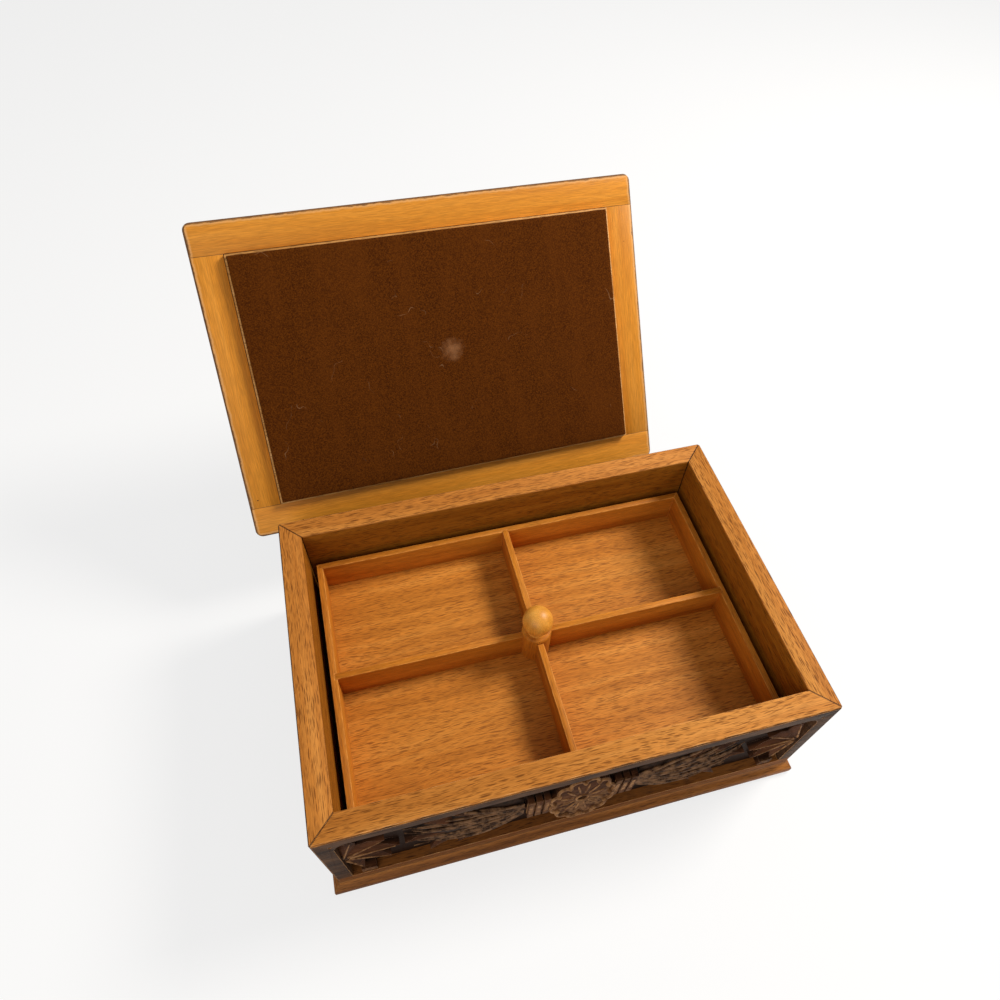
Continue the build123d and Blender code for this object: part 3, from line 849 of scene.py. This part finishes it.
def lay_sheaves(name, ground, scale, length, count, body, bars):
    """Bound sheaves on both hands of a panel's middle: swelling, strands and tie bars."""
    spread = sheaf_spread * scale
    swelling = sheaf_swelling(length, spread)
    for index, hand in enumerate(("right", "left")):
        half_turn = ground @ Matrix.Rotation(pi * index, 4, "Z")
        tie = half_turn @ Matrix.Translation((tie_foot * scale, 0, 0)) @ widened(scale)
        placed_copy(bars, f"tie_bars_{name}_{hand}", tie, flower_wood, body)
        sheaf = half_turn @ Matrix.Translation((sheaf_from * scale, 0, 0))
        # The mound under the strands is dark stain and painted shade between them
        placed_copy(swelling, f"sheaf_swelling_{name}_{hand}", sheaf, hollow_stain_and_shade_wood, body)
        strands = sheaf_strands(length, spread, count, f"{name} {hand}")
        placed_copy(strands, f"sheaf_strands_{name}_{hand}", sheaf, strand_wood, body)
        bpy.data.objects.remove(strands)
    bpy.data.objects.remove(swelling)


def carve_side(name, rim, strokes, bars, ribs):
    """Fine carving of one side, laid over its carved panel; only the long sides have fans."""
    face = side_matrix(name)
    lean = Matrix.Rotation(-atan2(rosette_high - rosette_low, rosette_height), 4, "X")
    flower = face @ Matrix.Translation((0, 0, (rosette_low + rosette_high) / 2)) @ lean
    placed_copy(rim, f"rosette_rim_{name}", flower, flower_wood, "box")
    placed_copy(strokes, f"rosette_strokes_{name}", flower, flower_wood, "box")
    lay_sheaves(name, face, 1, SIDES[name][2], sheaf_count, "box", bars)
    if name in ("front", "back"):
        end = Matrix.Translation((stile + panel_gap - box_width / 2, 0, 0))
        for index, hand in enumerate(("right", "left")):
            fan = face @ Matrix.Rotation(pi * (1 - index), 4, "Z") @ end
            placed_copy(ribs, f"fan_ribs_{name}_{hand}", fan, flower_wood, "box")


def carve_lid(rim, strokes, bars):
    """Fine carving of the lid's panel."""
    ground = lid_matrix @ Matrix.Translation((0, -lid_depth / 2, lid_ground))
    flower = ground @ Matrix.Translation((0, 0, lid_rosette_lift)) @ widened(lid_carving_scale)
    placed_copy(rim, "rosette_rim_lid", flower, flower_wood, "lid")
    placed_copy(strokes, "rosette_strokes_lid", flower, flower_wood, "lid")
    lower = ground @ Matrix.Translation((0, 0, -lid_sheaf_drop))
    lay_sheaves("lid", lower, lid_carving_scale, lid_sheaf_length, lid_sheaf_count, "lid", bars)


# The pieces and their finishes

wall_long = wall_finish("wall_wood_long", along_x)
wall_short = wall_finish("wall_wood_short", along_y)
plinth_long = plinth_finish("plinth_wood_long", along_x)
plinth_short = plinth_finish("plinth_wood_short", along_y)
floor_wood = plain_wood("tray_floor_wood", along_x, FLOOR_TONES, figure=1.3)
side_long = plain_wood("tray_side_wood_long", along_x, SIDE_TONES, pore_amount=0.4)
side_short = plain_wood("tray_side_wood_short", along_y, SIDE_TONES, pore_amount=0.4)
inner_wood = plain_wood("inner_wood", along_x, INNER_TONES)
knob_wood = polished_finish("turned_wood")
# The post takes the tray sides' darker wood instead of the knob's, as painted shade
post_wood_painted_shade = plain_wood("post_wood_painted_shade", upwards, SIDE_TONES, pore_amount=0.4)
lid_long = lid_finish("lid_wood_long", crosswise=False)
lid_short = lid_finish("lid_wood_short", crosswise=True)
pad_wood = pad_finish("pad_board_wood")
carved_wood = carving_finish("carved_wood")
lid_carved_wood = carving_finish("lid_carved_wood", on_lid=True)
velvet = velvet_finish("velvet")
steel = steel_finish("steel")
flower_wood = two_tone_finish("flower_wood", tone(166, 120, 76), tone(106, 68, 38), 220, 0.3 * mm)
strand_wood = two_tone_finish("strand_wood", tone(140, 102, 70), tone(52, 32, 20), 200, 0.3 * mm)
# Dark stain and painted shade for the mounds under the sheaves' strands
hollow_stain_and_shade_wood = two_tone_finish("hollow_stain_and_shade_wood", tone(58, 38, 26), tone(30, 18, 10), 300, 0.3 * mm)
rim_worn = two_tone_finish("worn_rim_edge", tone(232, 178, 118), tone(176, 112, 58))
plinth_worn = two_tone_finish("worn_plinth_edge", tone(166, 116, 68), tone(104, 62, 28))
tray_worn = two_tone_finish("worn_tray_edge", tone(226, 156, 74), tone(184, 112, 42))
lid_worn = two_tone_finish("worn_lid_edge", tone(176, 120, 60), tone(120, 78, 38))
carving_worn = two_tone_finish("worn_carving_edge", tone(160, 130, 108), tone(70, 46, 32))

# Tray boards whose grain runs along the box, and those whose grain runs across it
long_boards = ("tray_side_front", "tray_side_back", "tray_divider_left", "tray_divider_right")
short_boards = ("tray_side_left", "tray_side_right", "tray_divider_front", "tray_divider_back")

# Pieces with eased edges: how far, their finish and that of the worn edge
EASED_PIECES = (
    (("wall_front", "wall_back"), wall_ease, wall_long, rim_worn),
    (("wall_left", "wall_right"), wall_ease, wall_short, rim_worn),
    (("plinth_front", "plinth_back"), plinth_ease, plinth_long, plinth_worn),
    (("plinth_left", "plinth_right"), plinth_ease, plinth_short, plinth_worn),
    (long_boards, tray_ease, side_long, tray_worn),
    (short_boards, tray_ease, side_short, tray_worn),
    (("tray_rest_left", "tray_rest_right"), board_ease, inner_wood, inner_wood),
    (("lid_rail_front", "lid_rail_back"), lid_ease, lid_long, lid_worn),
    (("lid_stile_left", "lid_stile_right"), lid_ease, lid_short, lid_worn),
    ([f"carved_panel_{side}" for side in SIDES], carving_ease, carved_wood, carving_worn),
    (("lid_carved_panel",), carving_ease, lid_carved_wood, carving_worn),
)
for names, ease, finish, worn in EASED_PIECES:
    for name in names:
        eased_copy(name, ease, finish, worn)
pad_board = eased_copy("lid_pad_board", board_ease, pad_wood, pad_wood)
dress("bottom_board", inner_wood)
dress("tray_floor", floor_wood)
dress("post_screw", steel)
dress("corner_brads", steel)
make_knob()
make_post()
make_velvet()

rim_motif = rosette_rim()
stroke_motif = rosette_strokes()
bar_motif = tie_bars()
rib_motif = fan_ribs()
for name in SIDES:
    carve_side(name, rim_motif, stroke_motif, bar_motif, rib_motif)
carve_lid(rim_motif, stroke_motif, bar_motif)
for motif in (rim_motif, stroke_motif, bar_motif, rib_motif):
    bpy.data.objects.remove(motif)


# Stage, lights and camera


def make_stage():
    """Pale floor, which the camera sees brighter than it lights the box."""
    bpy.ops.mesh.primitive_plane_add(size=floor_size, location=(0, 0, 0))
    floor = bpy.context.active_object
    floor.name = "floor"
    finish, tree, shader = new_finish("floor_white", roughness=0.9, gloss=0.0)
    shader.inputs["Base Color"].default_value = floor_white
    glow = node(tree, "Emission", {"Color": (1, 1, 1, 1), "Strength": 1.0})
    seen = node(tree, "LightPath").outputs["Is Camera Ray"]
    share = calc(tree, "MULTIPLY", seen, floor_glow)
    both = node(tree, "MixShader", {0: share, 1: shader.outputs[0], 2: glow.outputs[0]})
    tree.links.new(both.outputs[0], tree.nodes["Material Output"].inputs["Surface"])
    floor.data.materials.append(finish)


def make_world():
    """White room, seen at its full brightness but lighting the box with only a share of it."""
    world = bpy.data.worlds.new("studio")
    bpy.context.scene.world = world
    world.use_nodes = True
    tree = world.node_tree
    tree.nodes.clear()
    path = node(tree, "LightPath")
    plain = calc(tree, "MAXIMUM", path.outputs["Is Camera Ray"], path.outputs["Is Transmission Ray"])
    strength = calc(tree, "ADD", calc(tree, "MULTIPLY", plain, 1 - room_light), room_light)
    background = node(tree, "Background", {"Color": (1, 1, 1, 1), "Strength": strength})
    output = node(tree, "OutputWorld")
    tree.links.new(background.outputs[0], output.inputs["Surface"])


def add_lamp(name, place, target, width, power):
    """Round lamp that faces its target."""
    lamp = bpy.data.lights.new(name, "AREA")
    lamp.shape = "DISK"
    lamp.size = width
    lamp.energy = power
    lamp.color = lamp_colour
    holder = bpy.data.objects.new(name, lamp)
    bpy.context.scene.collection.objects.link(holder)
    holder.location = place
    holder.rotation_euler = (Vector(target) - Vector(place)).to_track_quat("-Z", "Y").to_euler()


def make_camera():
    """Camera at the photograph's viewing point, for a square image."""
    lens = bpy.data.cameras.new("photo_camera")
    lens.sensor_width = camera_sensor
    lens.lens = camera_lens
    lens.clip_start = 0.01
    camera = bpy.data.objects.new("photo_camera", lens)
    bpy.context.scene.collection.objects.link(camera)
    camera.location = camera_place
    camera.rotation_euler = camera_turn
    bpy.context.scene.camera = camera


make_stage()
make_world()
for name, settings in LAMPS.items():
    add_lamp(name, *settings)
make_camera()
bpy.context.scene.view_settings.view_transform = "Standard"
